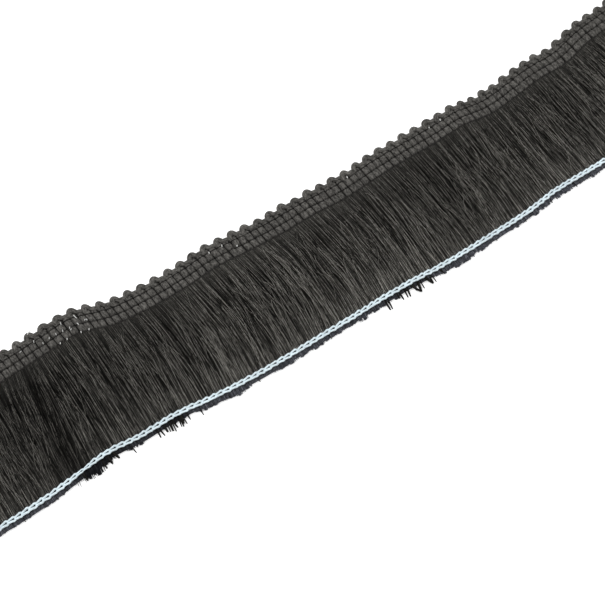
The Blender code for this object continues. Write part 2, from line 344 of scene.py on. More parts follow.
def lay(name, along):
    """A column of the lay table at places on the length, on a smooth curve."""
    at = LAY["along"] * MM
    value = LAY[name]
    slope = np.gradient(value, at)
    left = np.clip(np.searchsorted(at, along) - 1, 0, len(at) - 2)
    span = at[left + 1] - at[left]
    t = np.clip((along - at[left]) / span, 0.0, 1.0)
    return (
        value[left] * (1 + 2 * t) * (1 - t) ** 2
        + value[left + 1] * (3 - 2 * t) * t**2
        + span * slope[left] * t * (1 - t) ** 2
        - span * slope[left + 1] * (1 - t) * t**2
    )


def across(along, width):
    """Y of a line of the heading that runs a given width inside the tips."""
    step = SCALLOP_PITCH
    slope = (lay("edge", along + step) - lay("edge", along - step)) * MM / (2 * step)
    return lay("edge", along) * MM - width * np.hypot(1.0, slope)


def sway(along, depth):
    """How far a strand has drifted along X at a depth of 0, its root, to 1, the chain."""
    root = np.tan(np.radians(lay("root_lean", along)))
    end = np.tan(np.radians(lay("end_lean", along)))
    run = across(along, HEADING_WIDTH) - lay("chain", along) * MM
    inside = np.minimum(depth, 1.0)
    past = np.maximum(depth - 1.0, 0.0)
    return run * (root * inside + (end - root) * (inside**3 - inside**4 / 2) + end * past)


def frame_shift():
    """Where the frame's origin lies in the lay's own measure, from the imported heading."""
    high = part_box("heading")[1]
    last_tip = np.array(LENGTH / 2 - (1 - TIP_PHASE) * SCALLOP_PITCH)
    last_tip = last_tip + lay("slip", last_tip) * MM
    return np.array([LENGTH / 2 - high.x, float(across(last_tip, 0.0)) - high.y, 0.0])


SHIFT = frame_shift()


def on_heading(points):
    """Unit points (along, width inside the tips, height) laid on the strip."""
    laid = np.array(points, float)
    laid[..., 0] += lay("slip", points[..., 0]) * MM
    laid[..., 1] = across(laid[..., 0], points[..., 1])
    laid[..., 2] = np.maximum(laid[..., 2], 0.0)
    return laid - SHIFT


def on_chain(points):
    """Unit points (along, offset from the chain's line, height) laid on the strip."""
    laid = np.array(points, float)
    near = np.exp(-(((points[..., 0] - TWIST_PLACE) / TWIST_SPAN) ** 2))
    laid[..., 1] = lay("chain", points[..., 0]) * MM + points[..., 1] * (1 - TWIST_TIGHT * near)
    return laid - SHIFT


def deselect():
    """Nothing selected and nothing active, before an operator adds or joins."""
    bpy.ops.object.select_all(action="DESELECT")
    bpy.context.view_layer.objects.active = None


def as_piece(mesh, material):
    """An object for a finished mesh, by the mesh's own name, riding on the one body."""
    mesh.shade_smooth()
    mesh.materials.clear()
    mesh.materials.append(material)
    piece = bpy.data.objects.new(mesh.name, mesh)
    bpy.context.scene.collection.objects.link(piece)
    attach(piece, "root")
    return piece


def set_attributes(mesh, attributes):
    """Point attributes of a mesh, from arrays of numbers or of vectors."""
    for key, values in attributes.items():
        kind, field = ("FLOAT", "value") if values.ndim == 1 else ("FLOAT_VECTOR", "vector")
        made = mesh.attributes.new(key, kind, "POINT")
        made.data.foreach_set(field, values.astype(np.float32).ravel())


def mesh_from_arrays(name, points, quads, caps, attributes):
    """A mesh from arrays of points, four-sided faces and end caps, with point attributes."""
    mesh = bpy.data.meshes.new(name)
    corners = np.concatenate([quads.ravel(), caps.ravel()])
    totals = np.repeat((4, caps.shape[1]), (len(quads), len(caps)))
    mesh.vertices.add(len(points))
    mesh.vertices.foreach_set("co", points.astype(np.float32).ravel())
    mesh.loops.add(len(corners))
    mesh.loops.foreach_set("vertex_index", corners.astype(np.int32))
    mesh.polygons.add(len(totals))
    starts = np.concatenate([[0], np.cumsum(totals)[:-1]])
    mesh.polygons.foreach_set("loop_start", starts.astype(np.int32))
    set_attributes(mesh, attributes)
    mesh.update(calc_edges=True)
    mesh.validate()
    return mesh


def tubes(name, centres, radii, sides, tones, phases=None, chain_bounce=None):
    """One mesh of closed tubes, from centres (tube, station, 3) and one or many radii."""
    count, stations = centres.shape[:2]
    radii = np.broadcast_to(radii, (count, stations))
    tangent = np.gradient(centres, axis=1)
    tangent /= np.linalg.norm(tangent, axis=2, keepdims=True)
    side = np.cross(tangent, (0.0, 0.0, 1.0))
    side /= np.linalg.norm(side, axis=2, keepdims=True)
    rise = np.cross(side, tangent)
    angle = 2 * np.pi * np.arange(sides) / sides + np.pi / 2
    level, upright = np.cos(angle), np.sin(angle)
    ring = level[:, None] * side[:, :, None, :] + upright[:, None] * rise[:, :, None, :]
    points = centres[:, :, None, :] + radii[:, :, None, None] * ring
    index = np.arange(count * stations * sides).reshape(count, stations, sides)
    turned = np.roll(index, -1, axis=2)
    quads = np.stack(
        [index[:, :-1], index[:, 1:], turned[:, 1:], turned[:, :-1]], axis=-1
    ).reshape(-1, 4)
    caps = np.concatenate([index[:, 0], index[:, -1, ::-1]])
    run = np.cumsum(np.linalg.norm(np.diff(centres, axis=1, prepend=centres[:, :1]), axis=2), 1)
    if phases is None:
        phases = np.mod(np.arange(count) * FIBRE_STEP, FIBRE_START)
    run = run / MM + phases[:, None]
    around = (FIBRE_GIRTH * level, FIBRE_GIRTH * upright)
    fibre = np.stack(np.broadcast_arrays(*around, run[:, :, None]), axis=-1).reshape(-1, 3)
    by_station = tones if tones.ndim == 2 else tones[:, None]
    tone = np.broadcast_to(by_station[:, :, None], index.shape).reshape(-1)
    attributes = {"fibre": fibre, "tone": tone}
    if chain_bounce is not None:
        attributes["chain_bounce"] = np.broadcast_to(chain_bounce[:, :, None], index.shape).reshape(-1)
    return mesh_from_arrays(name, points.reshape(-1, 3), quads, caps, attributes)


def yarn_unit(name, route, radii, cyclic, sides):
    """A short length of yarn as a mesh, bevelled round a smooth path through the route."""
    deselect()
    if cyclic:
        bpy.ops.curve.primitive_nurbs_circle_add(radius=1.0)
    else:
        bpy.ops.curve.primitive_nurbs_path_add(radius=1.0)
    path = bpy.context.object
    path.name = name
    spline = path.data.splines[0]
    spline.points.add(len(route) - len(spline.points))
    for point, place, radius in zip(spline.points, route, radii):
        point.co = (*place, 1.0)
        point.radius = radius
    spline.order_u = 3
    spline.use_cyclic_u = cyclic
    spline.use_endpoint_u = not cyclic
    spline.resolution_u = 3
    path.data.bevel_depth = 1.0
    path.data.bevel_resolution = sides // 2 - 2
    path.data.use_fill_caps = not cyclic
    bpy.ops.object.convert(target="MESH")
    unit = bpy.context.object
    bpy.ops.object.mode_set(mode="EDIT")
    bpy.ops.mesh.select_all(action="SELECT")
    bpy.ops.mesh.remove_doubles(threshold=0.001 * MM)
    bpy.ops.mesh.normals_make_consistent(inside=False)
    bpy.ops.object.mode_set(mode="OBJECT")
    return read_unit(unit)


def read_unit(unit):
    """Points, four-sided faces and end caps of a unit, which is then removed."""
    mesh = unit.data
    points = np.array([vertex.co for vertex in mesh.vertices])
    quads = np.array([tuple(f.vertices) for f in mesh.polygons if len(f.vertices) == 4])
    caps = [tuple(f.vertices) for f in mesh.polygons if len(f.vertices) > 4]
    bpy.data.objects.remove(unit)
    bpy.data.meshes.remove(mesh)
    return points, quads, np.array(caps, int) if caps else np.zeros((0, 4), int)


def fibre_coordinates(points, route):
    """For every point of a unit, the angle round its yarn and the run along it."""
    fine = np.linspace(0, len(route) - 1, 12 * len(route))
    line = np.stack([np.interp(fine, np.arange(len(route)), route[:, i]) for i in range(3)], 1)
    run = np.concatenate([[0], np.cumsum(np.linalg.norm(np.diff(line, axis=0), axis=1))])
    tangent = np.gradient(line, axis=0)
    tangent /= np.linalg.norm(tangent, axis=1, keepdims=True)
    near = np.argmin(np.linalg.norm(points[:, None] - line[None], axis=2), axis=1)
    off = points - line[near]
    side = np.cross(tangent[near], (0.0, 0.0, 1.0))
    side /= np.linalg.norm(side, axis=1, keepdims=True) + 1e-9
    rise = np.cross(side, tangent[near])
    angle = np.arctan2((off * rise).sum(1), (off * side).sum(1))
    return np.stack([np.cos(angle), np.sin(angle), run[near] / MM], axis=1)


def copies(name, unit, placed, fibre, tones):
    """One mesh of many copies of a unit, whose points are already placed, copy by copy."""
    _, quads, caps = unit
    count, size = placed.shape[:2]
    step = (np.arange(count) * size)[:, None, None]
    all_quads = (quads[None] + step).reshape(-1, quads.shape[1])
    all_caps = (caps[None] + step).reshape(-1, caps.shape[1])
    shifted = np.tile(fibre, (count, 1, 1))
    shifted[:, :, 2] += np.arange(count)[:, None] * COPY_STEP
    tone = np.broadcast_to(tones[:, None], (count, size)).reshape(-1)
    attributes = {"fibre": shifted.reshape(-1, 3), "tone": tone}
    return mesh_from_arrays(name, placed.reshape(-1, 3), all_quads, all_caps, attributes)


def add_node(tree, kind, inputs=(), **settings):
    """A new node of a tree, with its settings and the values of its inputs."""
    made = tree.nodes.new(kind)
    for key, value in settings.items():
        setattr(made, key, value)
    for key, value in dict(inputs).items():
        made.inputs[key].default_value = value
    return made


def join(tree, *links):
    """Links of a tree, each given as a node, its output, the next node and its input."""
    for source, output, target, entry in links:
        tree.links.new(source.outputs[output], target.inputs[entry])


def fibre_group():
    """Shared look of yarn: streaks along the fibres, turned by the twist, as mask and height."""
    found = bpy.data.node_groups.get("Yarn fibres")
    if found:
        return found
    group = bpy.data.node_groups.new("Yarn fibres", "ShaderNodeTree")
    for name, way in zip(("Fineness", "Stretch", "Mask", "Height"), 2 * ["INPUT"] + 2 * ["OUTPUT"]):
        group.interface.new_socket(name=name, in_out=way, socket_type="NodeSocketFloat")
    given = group.nodes.new("NodeGroupInput")
    out = group.nodes.new("NodeGroupOutput")
    fibre = add_node(group, "ShaderNodeAttribute", attribute_name="fibre")
    parts = add_node(group, "ShaderNodeSeparateXYZ")
    run = add_node(group, "ShaderNodeMath", operation="MULTIPLY")
    joined = add_node(group, "ShaderNodeCombineXYZ")
    streaks = add_node(group, "ShaderNodeTexNoise", {"Detail": 3.0, "Roughness": 0.7})
    mask = add_node(group, "ShaderNodeMapRange", {"From Min": 0.38, "From Max": 0.62})
    join(
        group,
        (fibre, "Vector", parts, 0), (parts, "Z", run, 0), (given, "Stretch", run, 1),
        (parts, "X", joined, "X"), (parts, "Y", joined, "Y"), (run, 0, joined, "Z"),
        (joined, 0, streaks, "Vector"), (given, "Fineness", streaks, "Scale"),
        (streaks, "Fac", mask, "Value"), (mask, "Result", out, "Mask"),
        (streaks, "Fac", out, "Height"),
    )
    return group


def yarn_material(name, dark, light, roughness, gloss, bump, fineness, stretch, streak):
    """Yarn finish: from dark to light by the yarn's own tone, dimmed in streaks of fibres."""
    found = bpy.data.materials.get(name)
    if found:
        return found
    made = bpy.data.materials.new(name)
    made.use_nodes = True
    tree = made.node_tree
    shader = tree.nodes["Principled BSDF"]
    shader.inputs["Metallic"].default_value = 0.0
    shader.inputs["Specular IOR Level"].default_value = gloss
    pattern = {"Fineness": fineness, "Stretch": stretch}
    fibres = add_node(tree, "ShaderNodeGroup", pattern, node_tree=fibre_group())
    dimmed = add_node(tree, "ShaderNodeMapRange", {"To Min": 1.0 - streak})
    tone = add_node(tree, "ShaderNodeAttribute", attribute_name="tone")
    blend = add_node(tree, "ShaderNodeMath", operation="MULTIPLY", use_clamp=True)
    ends = {6: (*dark, 1.0), 7: (*light, 1.0)}
    colour = add_node(tree, "ShaderNodeMix", ends, data_type="RGBA")
    # Painted bounce light: a blue tint from the pale chain, by a point attribute that is 1 on the
    # cut ends.
    chain_bounce = add_node(tree, "ShaderNodeAttribute", attribute_name="chain_bounce")
    tint = {7: (*CHAIN_BOUNCE_TINT, 1.0)}
    tinted = add_node(tree, "ShaderNodeMix", tint, data_type="RGBA", blend_type="MULTIPLY")
    spread = {"To Min": roughness - 0.08, "To Max": roughness + 0.08}
    rough = add_node(tree, "ShaderNodeMapRange", spread)
    raised = add_node(tree, "ShaderNodeBump", {"Strength": 0.8, "Distance": bump})
    join(
        tree,
        (fibres, "Mask", dimmed, "Value"), (dimmed, "Result", blend, 0),
        (tone, "Fac", blend, 1), (blend, 0, colour, "Factor"), (chain_bounce, "Fac", tinted, "Factor"),
        (colour, 2, tinted, 6), (tinted, 2, shader, "Base Color"),
        (fibres, "Mask", rough, "Value"), (rough, "Result", shader, "Roughness"),
        (fibres, "Height", raised, "Height"), (raised, "Normal", shader, "Normal"),
    )
    return made


def shaded(colour, share):
    """A colour made darker or lighter by a share."""
    return tuple(value * share for value in colour)


def heading_material():
    """Matt thick yarn of the picks and loops."""
    colour = bpy.context.scene.trim_colours.heading
    return yarn_material(
        "Heading yarn", shaded(colour, 0.15), shaded(colour, 2.5), 0.75, 0.10, 0.35 * MM, 2.4,
        0.40, 0.85,
    )


def warp_material():
    """Thin dark thread of the weave."""
    colour = bpy.context.scene.trim_colours.heading
    return yarn_material(
        "Warp thread", shaded(colour, 0.10), shaded(colour, 1.0), 0.75, 0.10, 0.03 * MM, 5.0,
        0.3, 0.9,
    )


def skirt_material():
    """Fine soft strands, from nearly black to charcoal, whose lightest ones are painted silky
    glints, broken into short lengths by the streaks of fibres.
    """
    colours = bpy.context.scene.trim_colours
    return yarn_material(
        "Skirt yarn", tuple(colours.skirt_dark), tuple(colours.skirt_glint), 0.75, 0.02,
        0.01 * MM, 3.0, 0.26, 0.95,
    )


def chain_material():
    """Pale matt cotton thread, dimmed in streaks that are partly its fibres' grain and partly
    painted shade in the creases of its twist.
    """
    colour = bpy.context.scene.trim_colours.chain
    return yarn_material(
        "Chain thread", shaded(colour, 0.25), shaded(colour, 1.30), 0.80, 0.20, 0.12 * MM, 2.2,
        0.5, 0.55,
    )


def clear_glint_material():
    """Clear thread painted pale as a glint, on a glossy line."""
    return yarn_material(
        "Clear thread", (0.30, 0.30, 0.29), (0.85, 0.85, 0.83), 0.30, 0.60, 0.01 * MM, 3.0,
        0.25, 0.2,
    )


def heading_cloth():
    """The thin ground cloth of the heading, a sheet that follows the scalloped edge."""
    deselect()
    bpy.ops.mesh.primitive_grid_add(
        x_subdivisions=8 * SCALLOPS, y_subdivisions=12, size=1.0
    )
    cloth = bpy.context.object
    thickness = bpy.context.scene.trim_sizes.cloth_thickness
    points = np.array([vertex.co for vertex in cloth.data.vertices])
    along = points[:, 0] * (LENGTH - 1.2 * MM)
    phase = np.mod((along + LENGTH / 2) / SCALLOP_PITCH - TIP_PHASE, 1.0)
    inset = (1.2 + 1.0 * (1 - np.cos(2 * np.pi * phase)) / 2) * MM
    width = inset + (0.5 - points[:, 1]) * (HEADING_WIDTH + 0.4 * MM - inset)
    height = thickness + 0.06 * MM * np.sin(2 * np.pi * along / PICK_PITCH)
    laid = on_heading(np.stack([along, width, height], axis=1))
    cloth.data.vertices.foreach_set("co", laid.astype(np.float32).ravel())
    solidify = cloth.modifiers.new("Thickness", "SOLIDIFY")
    solidify.thickness = thickness
    solidify.offset = 0.0
    bpy.ops.object.modifier_apply(modifier=solidify.name)
    mesh = cloth.data
    mesh.name = "heading_cloth"
    flat = np.array([vertex.co for vertex in mesh.vertices])
    fibre = np.stack([flat[:, 0], flat[:, 2], flat[:, 1]], axis=1) / MM
    set_attributes(mesh, {"fibre": fibre, "tone": np.full(len(flat), 0.3)})
    bpy.data.objects.remove(cloth)
    return as_piece(mesh, warp_material())


def squared(points, flatness):
    """A level yarn along Y, pressed from round to a flat bundle with round corners."""
    pressed = points.copy()
    half = np.hypot(points[:, 0], points[:, 2]) + 1e-9
    side, rise = points[:, 0] / half, points[:, 2] / half
    pressed[:, 0] = half * np.sign(side) * np.abs(side) ** 0.9
    pressed[:, 2] = half * flatness * np.sign(rise) * np.abs(rise) ** 0.75
    return pressed


def heading_picks():
    """The picks of the weave: a raised block in each row, pinched at every warp line."""
    rng = np.random.default_rng(PICK_SEED)
    width, height, radius = (PICK[key] * MM for key in PICK)
    route = np.stack([0 * width, width, 0 * width], axis=1)
    unit = yarn_unit("pick", route, radius, False, 10)
    fibre = fibre_coordinates(unit[0], route)
    points = squared(unit[0], PICK_FLATNESS)
    points[:, 2] += np.interp(points[:, 1], width, height)
    points[:, 0] += PICK_SLANT * (points[:, 1] - HEADING_WIDTH / 2)
    placed = np.repeat(points[None], PICKS, axis=0)
    breadth = rng.uniform(0.96, 1.03, (PICKS, 1))
    lift = rng.uniform(0.94, 1.07, (PICKS, 1))
    turn = rng.normal(0.0, 0.03, (PICKS, 1))
    places = -LENGTH / 2 + (np.arange(PICKS)[:, None] + 0.5) * PICK_PITCH
    places = places + rng.normal(0.0, 0.05 * MM, (PICKS, 1))
    placed[:, :, 0] = places + points[None, :, 0] * breadth
    placed[:, :, 0] += turn * (points[None, :, 1] - HEADING_WIDTH / 2)
    placed[:, :, 2] *= lift
    rows = (3.3 * MM, *WARP_LINES, 11.6 * MM)
    share = np.stack([np.interp(points[:, 1], rows, hat) for hat in np.eye(len(rows))])
    placed[:, :, 0] += rng.normal(0.0, PICK_JITTER, (PICKS, len(rows))) @ share
    uneven = PICK_JITTER * np.array([1.0, 1.0, 0.8, 0.3, 0.3])
    placed[:, :, 1] += rng.normal(0.0, uneven, (PICKS, len(rows))) @ share
    placed[:, :, 2] *= 1 + rng.normal(0.0, 0.05, (PICKS, len(rows))) @ share
    tones = rng.uniform(0.70, 0.85, PICKS)
    mesh = copies("heading_picks", unit, on_heading(placed), fibre, tones)
    return as_piece(mesh, heading_material())


def edge_loops():
    """The scalloped edge: one loop of thick yarn for each scallop."""
    rng = np.random.default_rng(LOOP_SEED)
    route = np.stack([LOOP[key] for key in ("along", "width", "height")], axis=1) * MM
    radius = LOOP["radius"] * MM
    unit = yarn_unit("edge_loop", route, radius, False, 10)
    fibre = fibre_coordinates(unit[0], route)
    placed = np.repeat(unit[0][None], SCALLOPS, axis=0)
    placed[:, :, 2] *= LOOP_FLATNESS
    middle = np.array([2.0, 2.4, 0.0]) * MM
    grown = rng.uniform(0.94, 1.06, (SCALLOPS, 1, 3))
    placed = middle + (placed - middle) * grown
    places = -LENGTH / 2 + np.arange(SCALLOPS)[:, None] * SCALLOP_PITCH
    placed[:, :, 0] += places + rng.normal(0.0, 0.10 * MM, (SCALLOPS, 1))
    placed[:, :, 1] += rng.normal(0.0, 0.20 * MM, (SCALLOPS, 1))
    placed[:, :, 0] = np.clip(placed[:, :, 0], -LOOP_LIMIT, LOOP_LIMIT)
    tones = rng.uniform(0.65, 1.0, SCALLOPS)
    mesh = copies("edge_loops", unit, on_heading(placed), fibre, tones)
    return as_piece(mesh, heading_material())


def warp_threads():
    """Two thin threads on each warp line, which go over a pick and down between two."""
    rng = np.random.default_rng(WARP_SEED)
    radius = bpy.context.scene.trim_sizes.warp_radius
    stations = 3 * PICKS + 1
    along = np.linspace(-LENGTH / 2 + 0.3 * MM, LENGTH / 2 - 0.3 * MM, stations)
    centres, tones = [], []
    for line in WARP_LINES:
        for turn in (-1, 1):
            wave = 2 * np.pi * (along + LENGTH / 2) / PICK_PITCH
            width = line + turn * (0.20 + 0.10 * np.cos(wave)) * MM
            width = width + 0.10 * MM * drift(along, rng, WARP_SPANS)
            height = (0.98 - 0.34 * np.cos(wave)) * MM + 0.05 * MM * drift(along, rng, WARP_SPANS)
            slanted = along + PICK_SLANT * (width - HEADING_WIDTH / 2)
            centres.append(on_heading(np.stack([slanted, width, height], axis=1)))
            tones.append(rng.uniform(0.2, 0.8))
    centres = np.array(centres)
    mesh = tubes("warp_threads", centres, radius, 6, np.array(tones))
    return as_piece(mesh, warp_material())


def smooth_step(t):
    """0 to 1 with level ends."""
    t = np.clip(t, 0.0, 1.0)
    return t * t * (3 - 2 * t)


def strand_heights(depth, body):
    """Height of a strand's middle: low at its root, full in the body, pressed at the chain."""
    root = 0.45 * MM + 0.38 * body
    stitched = 0.12 * MM + 0.50 * body
    tip = 0.10 * MM + 0.38 * body
    rise = smooth_step(depth / 0.22)
    press = smooth_step((depth - 0.74) / 0.24)
    fall = smooth_step((depth - 1.0) / 0.08)
    height = root + (body - root) * rise
    height = height + (stitched - height) * press
    return height + (tip - height) * fall


def drift(place, rng, spans):
    """A smooth wander along the strip of about unit size, the same for near neighbours."""
    waves = [np.sin(2 * np.pi * place / (span * MM) + rng.uniform(0, 2 * np.pi)) for span in spans]
    return sum(waves) / math.sqrt(len(spans))


def on_grid(values):
    """Values of each wisp on the grid of wisps, strands and stations."""
    return np.asarray(values)[:, None, None]


def cut_ends(name, place):
    """A column of the table of cut ends, at places on the length."""
    return np.interp(place, CUT["along"] * MM, CUT[name])


def painted_sheen(place, depth):
    """Painted sheen: how light the skirt is at places on the length and depths below the heading.
    """
    at = PAINTED_SHEEN["along"] * MM
    upper, lower = (np.interp(place, at, PAINTED_SHEEN[key]) for key in ("upper", "lower"))
    return upper + (lower - upper) * smooth_step((depth - 0.15) / 0.70)


def clumps(foot):
    """The clump that each cut end sticks to: its middle, and how much longer it is cut."""
    rng = np.random.default_rng(CLUMP_SEED)
    count = int(1.2 * LENGTH / CLUMP_WIDTH)
    steps = rng.uniform(0.45, 1.55, count) * CLUMP_WIDTH
    edges = np.cumsum(steps) - 0.55 * LENGTH
    which = np.clip(np.searchsorted(edges, foot) - 1, 0, count - 2)
    middle = (edges[which] + edges[which + 1]) / 2
    longer = rng.normal(0.0, CLUMP_CUT, count)[which]
    return middle, longer


def strand_draws(row, seed):
    """Every random value of one layer, for its wisps and for the strands in each."""
    rng = np.random.default_rng(seed)
    wisps, strands = row["wisps"], row["strands"]
    each = (wisps, strands, 1)
    uneven, several = row["lean"] > 0.0, strands > 1
    loose = rng.uniform(-PLACE_SPREAD, PLACE_SPREAD, wisps) * uneven
    place = (np.arange(wisps) + 0.5 + loose) / wisps - 0.5
    place = place * (LENGTH - END_INSET)
    place = place + row["gather"] * MM * drift(place, rng, GATHER_SPANS)
    tangled = 1 + TANGLE * np.exp(-(((place - TANGLE_PLACE) / TANGLE_SPAN) ** 2))
    lean = row["drift"] * drift(place, rng, DRIFT_SPANS)
    lean = lean + tangled * rng.normal(0.0, row["lean"], wisps)
    return SimpleNamespace(
        place=on_grid(place),
        lean=on_grid(np.tan(np.radians(lean))),
        wave=[on_grid(row["wave"] * MM * drift(place, rng, WAVE_SPANS)) for _ in range(2)],
        own=on_grid(WISP_WAVE * row["wave"] * MM * rng.normal(0.0, 1.0, wisps) * uneven),
        start=[on_grid(np.pi * drift(place, rng, DRIFT_SPANS[1:])) for _ in range(2)],
        phase=rng.uniform(0, 2 * np.pi, (2, wisps, 1, 1)),
        body=on_grid(rng.uniform(row["low"], row["high"], wisps) * MM),
        ragged=on_grid(rng.normal(0.0, WISP_CUT, wisps) * MM),
        twist=on_grid(rng.normal(0.0, WISP_TURN, wisps)),
        jitter=rng.uniform(0, TONE_JITTER, each),
        angle=rng.uniform(0, 2 * np.pi, each),
        reach=np.sqrt(rng.uniform(0, 1, each)) * row["spread"] * MM,
        strand_lean=rng.normal(0.0, STRAND_LEAN, each) * several,
        strand_wave=rng.normal(0.0, STRAND_WAVE, each) * MM * several,
        strand_start=rng.uniform(0, 2 * np.pi, each),
        strand_cut=rng.normal(0.0, STRAND_CUT, each) * MM,
        fibre_start=rng.uniform(0, STRAND_START, wisps * strands),
    )


def strand_depths(drawn, run, foot, longer):
    """Depth of every station of every strand, down to its cut end."""
    past = CHAIN_WIDTH / 2 + cut_ends("past", foot) * MM
    last = 1.0 + (past + longer + drawn.ragged + drawn.strand_cut) / run
    depth = np.tile(np.array(DEPTHS), (*last.shape[:2], 1))
    return np.concatenate([depth, np.maximum(last, LEAST_END)], axis=2)


def strand_paths(row, drawn, run, depth, pull):
    """X, Y and Z of every station: leaning, waving and weaving, pressed under the chain."""
    free = smooth_step(depth / FREE_DEPTH)
    x = drawn.place + sway(drawn.place, depth)
    x = x + run * drawn.lean * np.maximum(depth - 0.10, 0.0) * np.minimum(1.0, 1.3 - depth / 2)
    waves = (
        (drawn.wave[0], 1.0, 1.3, drawn.start[0]),
        (drawn.wave[1], 0.45, 3.1, drawn.start[1]),
        (drawn.own, 1.0, 4.3, drawn.phase[0]),
    )
    for size, share, turns, start in waves:
        x = x + size * free * share * np.sin(np.pi * turns * depth + start)
    x = x + run * drawn.strand_lean * depth
    x = x + drawn.strand_wave * free * np.sin(np.pi * 2.3 * depth + drawn.strand_start)
    body_depth = np.clip(depth, 0, 1)
    open_out = 0.85 + 0.25 * np.sin(np.pi * body_depth)
    turned = drawn.angle + drawn.twist * depth
    x = x + drawn.reach * open_out * np.cos(turned)
    x = x + CLUMP_PULL * pull * smooth_step((depth - 1.0) / CLUMP_DEPTH)
    rise = drawn.reach * WISP_FLATNESS * np.sin(turned)
    inside = np.sin(np.pi * body_depth) ** 0.5
    weave = row["weave"] * MM * np.sin(2 * np.pi * depth / WEAVE_SPAN + drawn.phase[1])
    z = strand_heights(depth, drawn.body) + rise + weave * inside
    z = np.maximum(z, row["radius"] * MM * 1.05)
    front = across(drawn.place, row["root"] * MM)
    chain = lay("chain", x) * MM
    y = front + (chain - front) * np.minimum(depth, 1.0) - run * np.maximum(depth - 1, 0)
    return np.clip(x, -END_LIMIT, END_LIMIT), y, z


def strand_tones(row, jitter, x, depth, foot):
    """How light every strand is from its root to its cut end, with its painted glints, shade and
    sheen.
    """
    order = np.argsort(np.argsort(x[:, :, EVEN_STATION].ravel())).reshape(jitter.shape)
    # A few strands, spread evenly along the strip, are made light: painted silky glints on the dark
    # yarn.
    tone = row["light"] * np.mod(order * GOLDEN + jitter, 1.0) ** row["rare"]
    fade = row["fade"] * smooth_step((depth - 0.62) / 0.35)
    tones = tone * (1 + fade) + 0.5 * fade
    # Painted shade under the heading's edge: near their roots the light strands keep only a share
    # of their tone.
    root = ROOT_SHARE * tone + ROOT_TONE
    tones = root + (tones - root) * smooth_step(depth / 0.2)
    # Painted shadow: the skirt left of the twist is darkened as if it lay in shade.
    near = np.exp(-(((foot - PAINTED_SHADOW_PLACE) / PAINTED_SHADOW_SPAN) ** 2))
    tones = tones * (1 - PAINTED_SHADOW_DIM * near * smooth_step((depth - 0.55) / 0.35))
    # Painted sheen, lighter and darker along the strip.
    tones = tones * painted_sheen(x, depth)
    ends = (END_SHARE * tone + END_TONE) * cut_ends("shade", foot)
    return np.clip(np.where(depth > CHAIN_DEPTH, ends, tones), 0, TONE_LIMIT)


def skirt_layer(name, seed):
    """The mesh of one layer: all its strands, gathered in wisps."""
    row = dict(zip(LAYER_COLUMNS, LAYERS[name]))
    drawn = strand_draws(row, seed)
    run = across(drawn.place, HEADING_WIDTH) - lay("chain", drawn.place) * MM
    foot = drawn.place + sway(drawn.place, 1.0)
    middle, longer = clumps(foot)
    depth = strand_depths(drawn, run, foot, longer)
    x, y, z = strand_paths(row, drawn, run, depth, middle - foot)
    tones = strand_tones(row, drawn.jitter, x, depth, foot)
    # Painted bounce light: the cut ends past the chain get the blue tint of light thrown off the
    # pale chain.
    chain_bounce = np.where(depth > CHAIN_DEPTH, 1.0, 0.0)
    stations = depth.shape[2]
    centres = np.stack([x, y, z], axis=-1).reshape(-1, stations, 3) - SHIFT
    radii = np.full(centres.shape[:2], row["radius"] * MM)
    if row["lean"] == 0.0:
        gap = np.abs(np.gradient(centres[:, :, 0], axis=0))
        radii = np.maximum(radii, BASE_OVERLAP * gap)
    radii[:, -1] *= TIP_TAPER
    tones, chain_bounce = (values.reshape(-1, stations) for values in (tones, chain_bounce))
    return tubes(name, centres, radii, 3, tones, drawn.fibre_start, chain_bounce)


def skirt():
    """The skirt of fine strands, one piece for each layer."""
    return [
        as_piece(skirt_layer(name, SKIRT_SEED + order), skirt_material())
        for order, name in enumerate(LAYERS)
    ]


def stray_hairs():
    """Single strands that cross the skirt, lift off it or stick out past the cut ends."""
    rng = np.random.default_rng(HAIR_SEED)
    sizes = bpy.context.scene.trim_sizes
    stations = np.linspace(0.0, 1.0, 14)
    each = (sizes.hair_count, 1)
    place = rng.uniform(-0.49, 0.49, each) * LENGTH
    first = rng.uniform(0.02, 0.55, each)
    last = np.minimum(first + rng.uniform(0.25, 0.75, each), 1.02)
    lean = np.tan(np.radians(rng.normal(0.0, 8.0, each)))
    bow = rng.normal(0.0, 1.2, each) * MM
    height = rng.uniform(1.6, 2.1, each) * MM
    depth = first + (last - first) * stations
    front = across(place, HEADING_WIDTH)
    run = front - lay("chain", place) * MM
    x = place + sway(place, depth)
    x = x + run * lean * (depth - first)
    x = x + bow * np.sin(np.pi * stations)
    chain = lay("chain", x) * MM
    y = front + (chain - front) * depth
    arch = np.sin(np.pi * stations) ** 0.5
    pressed = 1 - 0.55 * smooth_step((depth - 0.75) / 0.25)
    z = (0.9 * MM + (height - 0.9 * MM) * arch) * pressed
    centres = np.stack([x, y, z], axis=-1) - SHIFT
    # The hairs carry the same painted sheen as the skirt.
    tones = rng.uniform(0.35, 1.1, each) * painted_sheen(x, depth)
    mesh = tubes("stray_hairs", centres, sizes.hair_radius, 3, tones)
    return as_piece(mesh, skirt_material())


def cut_hairs():
    """Hairs and stuck tufts that stick out past the cut ends, thinner towards their tips."""
    along, past, girth = (HAIRS[key][:, None] * MM for key in ("along", "past", "girth"))
    lean = np.tan(np.radians(HAIRS["lean"]))[:, None]
    share = np.linspace(0.15, 1.0, 6)
    x = along + lean * past * (share - 1.0)
    y = lay("chain", along) * MM - past * share
    z = girth + 0.15 * MM + 0.25 * MM * np.sin(np.pi * share)
    centres = np.stack([x, y, z], axis=-1) - SHIFT
    radii = girth * (1 - 0.4 * share**4)
    mesh = tubes("cut_hairs", centres, radii, 4, np.full(len(along), 0.03))
    return as_piece(mesh, skirt_material())


